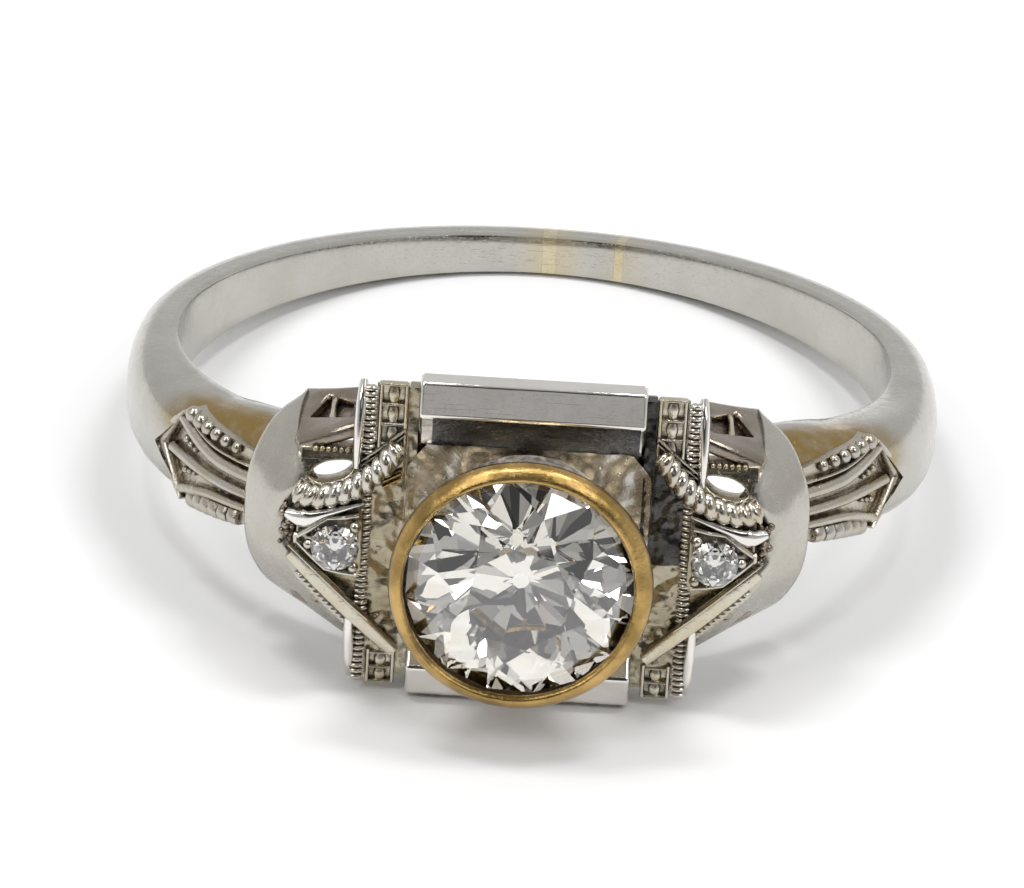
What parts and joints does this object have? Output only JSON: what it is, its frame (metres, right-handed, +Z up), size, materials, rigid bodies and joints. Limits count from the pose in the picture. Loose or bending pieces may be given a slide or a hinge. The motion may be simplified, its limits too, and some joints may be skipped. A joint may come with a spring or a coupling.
{
  "type": "engagement ring",
  "caption": "Art Deco style ring: a round diamond in a yellow gold collet on a square white gold head, pierced scrolled shoulders and a slim tapering shank.",
  "frame": {"origin": "centre of the resting footprint, on the surface the ring lies on", "axes": "+X across the head, -Y the side with the stone, +Y the back of the shank, +Z up; the finger axis leans 10.4 degrees back from +Z, because the head props up the front"},
  "size_m": [0.0196, 0.0226, 0.0078],
  "materials": {
    "white_gold": "polished white gold, finely scratched",
    "cast_white_gold": "worn, pitted white gold with dark patina in the recesses",
    "yellow_gold": "polished yellow gold, slightly worn",
    "solder": "pale yellow solder, satin",
    "diamond": "old cut diamond, clear with a faint warm tint"
  },
  "bodies": {
    "root": {"accent_diamond_left": "diamond", "accent_diamond_right": "diamond", "accent_plaque_left": "white_gold", "accent_plaque_right": "white_gold", "center_diamond": "diamond", "collet": "yellow_gold", "edge_bar_left": "white_gold", "edge_bar_right": "white_gold", "gallery_post_lower_left": "white_gold", "gallery_post_lower_right": "white_gold", "gallery_post_upper_left": "white_gold", "gallery_post_upper_right": "white_gold", "gallery_wall_lower_left": "cast_white_gold", "gallery_wall_lower_right": "cast_white_gold", "gallery_wall_upper_left": "cast_white_gold", "gallery_wall_upper_right": "cast_white_gold", "head_bar_lower": "white_gold", "head_bar_upper": "white_gold", "head_plate": "cast_white_gold", "horn_left": "white_gold", "horn_right": "white_gold", "ladder_strip_left": "cast_white_gold", "ladder_strip_right": "cast_white_gold", "milled_rail_left": "white_gold", "milled_rail_right": "white_gold", "rope_scroll_lower_left": "white_gold", "rope_scroll_lower_right": "white_gold", "rope_scroll_upper_left": "white_gold", "rope_scroll_upper_right": "white_gold", "saddle_left": "white_gold", "saddle_right": "white_gold", "shank_left": "white_gold", "shank_right": "white_gold", "shoulder_fan_left": "cast_white_gold", "shoulder_fan_right": "cast_white_gold", "shoulder_panel_left": "cast_white_gold", "shoulder_panel_right": "cast_white_gold", "sizing_insert": "white_gold", "solder_seam_left": "solder", "solder_seam_right": "solder", "under_gallery_lower": "cast_white_gold", "under_gallery_upper": "cast_white_gold"}
  },
  "joints": []
}
